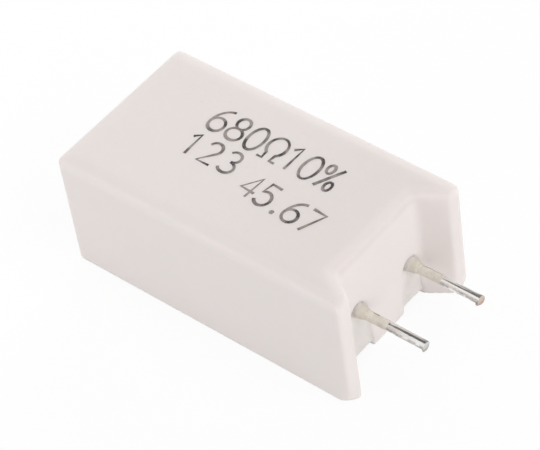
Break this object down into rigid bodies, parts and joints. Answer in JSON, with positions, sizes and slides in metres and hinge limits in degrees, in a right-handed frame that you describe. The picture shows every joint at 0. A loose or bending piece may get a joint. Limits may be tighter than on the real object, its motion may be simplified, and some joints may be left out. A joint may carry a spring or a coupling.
{
  "type": "cement resistor",
  "caption": "Upright wire-wound power resistor in a white ceramic case filled with cement, with stand-off feet and tinned leads at one end.",
  "frame": {"origin": "under the middle of the whole part, on the surface that the open rim lies on", "axes": "+X the way the leads point, +Y to the return lead's side, +Z out of the marked face"},
  "size_m": [0.0283, 0.013, 0.0101],
  "materials": {
    "white_ceramic": "matte, unglazed, slightly warm white",
    "cement": "fine sandy, pale grey, beige round the leads",
    "rod_ceramic": "matte",
    "resistance_alloy": "drawn, slightly oxidised",
    "cap_steel": "plated, satin",
    "tinned_copper": "bright solder-dipped, dull near the case"
  },
  "bodies": {
    "root": {"ceramic_case": "white_ceramic", "cement_fill": "cement", "core_rod": "rod_ceramic", "resistance_wire": "resistance_alloy", "lead_end_cap": "cap_steel", "back_end_cap": "cap_steel", "straight_lead": "tinned_copper", "return_lead": "tinned_copper"}
  },
  "joints": []
}
